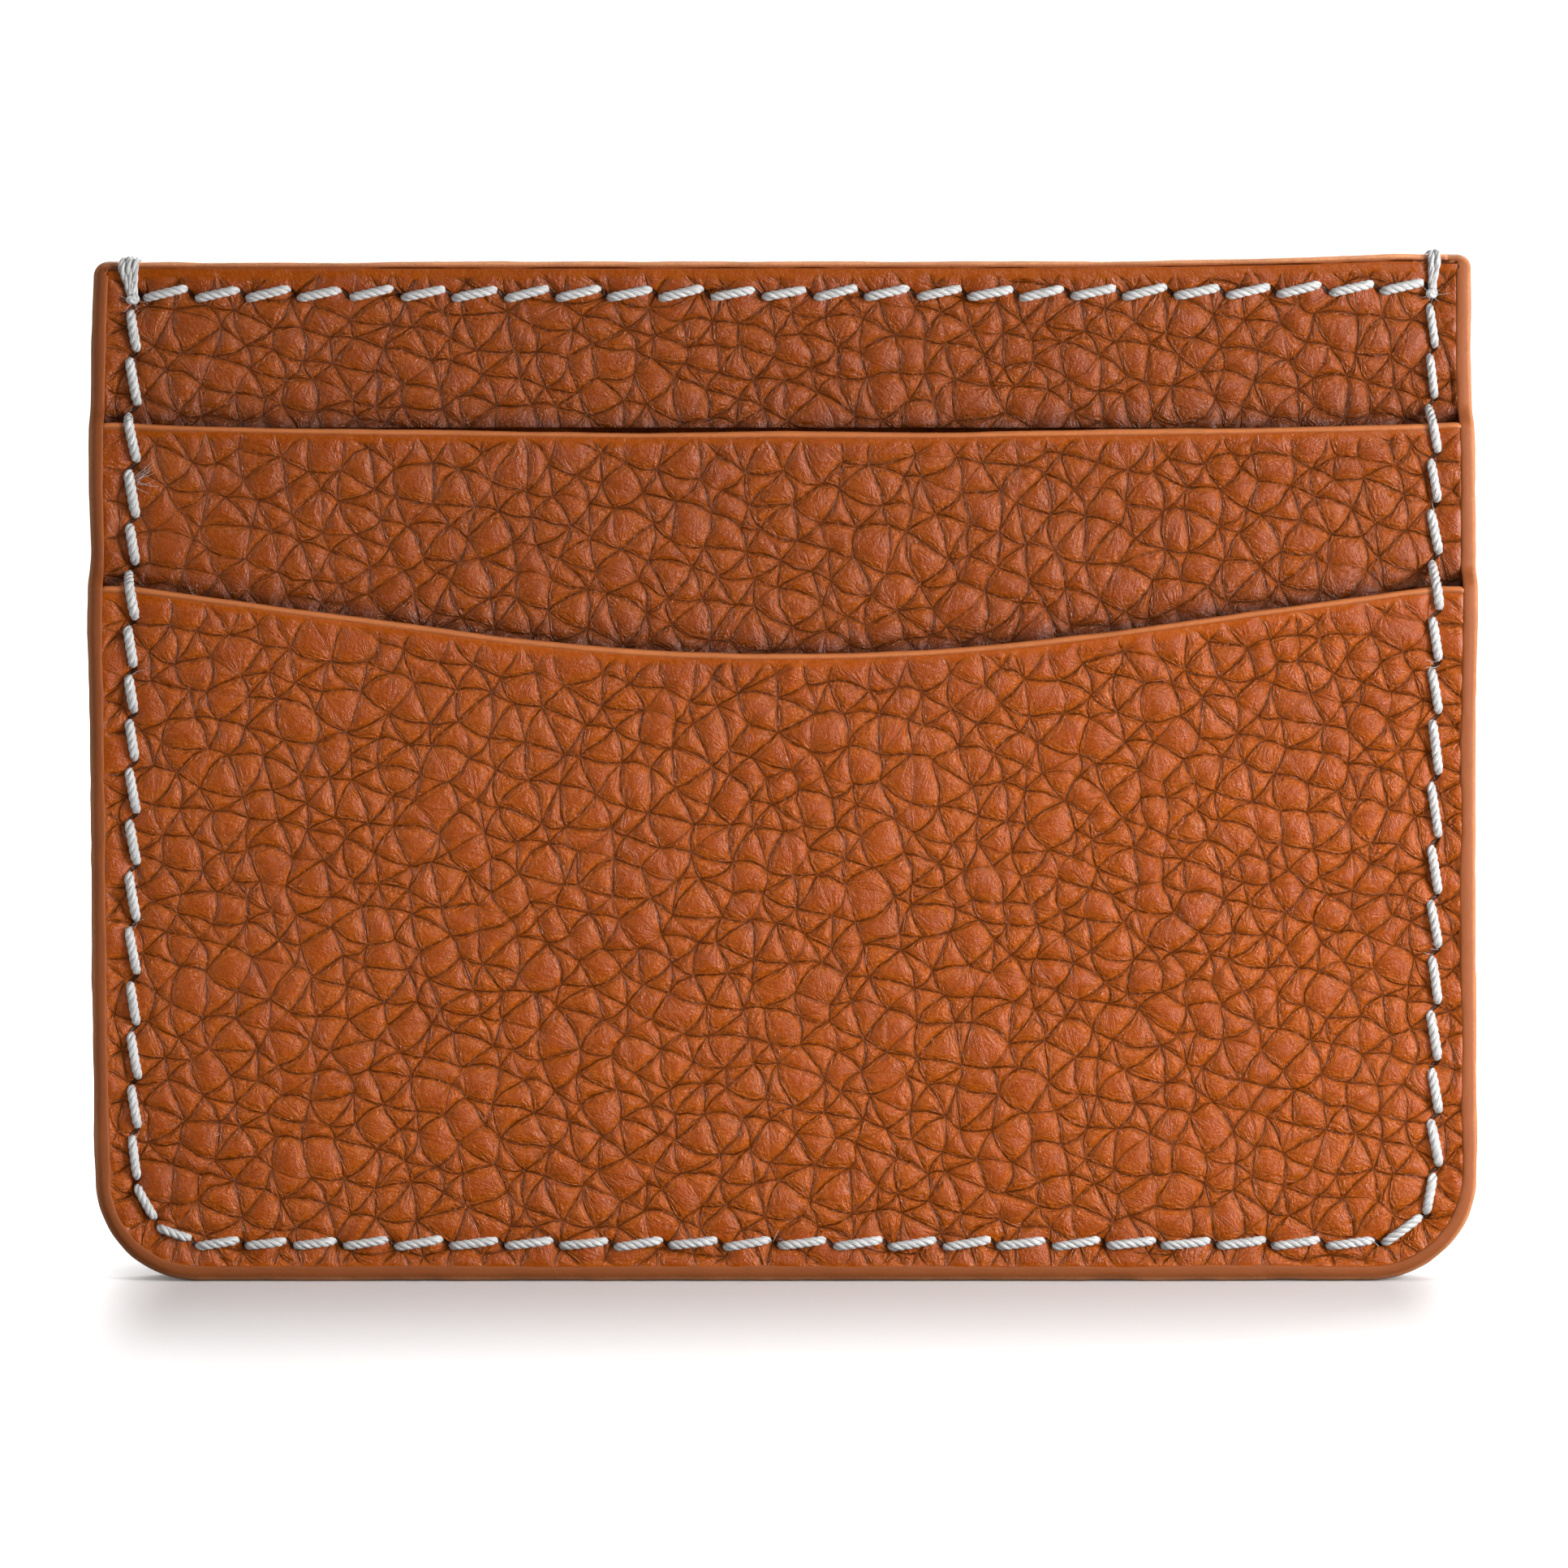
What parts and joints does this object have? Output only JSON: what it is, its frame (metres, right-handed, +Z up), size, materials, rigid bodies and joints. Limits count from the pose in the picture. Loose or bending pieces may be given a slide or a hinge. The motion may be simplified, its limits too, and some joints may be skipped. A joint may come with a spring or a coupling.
{
  "type": "card holder",
  "caption": "Slim stitched leather card holder with a curved front pocket, a T-shaped middle pocket and an open centre pocket, standing on its bottom edge.",
  "frame": {"origin": "middle of the bottom edge, on the surface that the holder stands on", "axes": "+X across the width to the right as seen from the front, +Y from the front face to the back, +Z up towards the open top edge"},
  "size_m": [0.1, 0.0066, 0.0742],
  "materials": {
    "panel_leather": "pebbled full-grain leather, saddle tan, soft satin",
    "pocket_leather": "pebbled full-grain leather, saddle tan, soft satin",
    "filler_leather": "skived raw leather strips, hidden under the seams",
    "lining": "smooth thin split-leather lining, matt",
    "edge_paint": "burnished edge paint, satin gloss",
    "thread": "waxed braided polyester thread, off-white"
  },
  "bodies": {
    "root": {"front_pocket": "pocket_leather", "middle_pocket": "pocket_leather", "front_panel": "panel_leather", "front_lining": "lining", "back_lining": "lining", "back_panel": "panel_leather", "front_slot_fillers": "filler_leather", "ear_level_fillers": "filler_leather", "middle_slot_fillers": "filler_leather", "centre_pocket_fillers": "filler_leather", "front_pocket_mouth_coat": "edge_paint", "middle_pocket_mouth_coat": "edge_paint", "front_panel_top_coat": "edge_paint", "back_panel_top_coat": "edge_paint", "left_edge_coat": "edge_paint", "right_edge_coat": "edge_paint", "bottom_edge_coat": "edge_paint", "perimeter_seam_thread": "thread", "front_top_row_thread": "thread", "back_top_row_thread": "thread", "middle_pocket_hem_thread": "thread", "left_corner_wrap": "thread", "right_corner_wrap": "thread"}
  },
  "joints": []
}
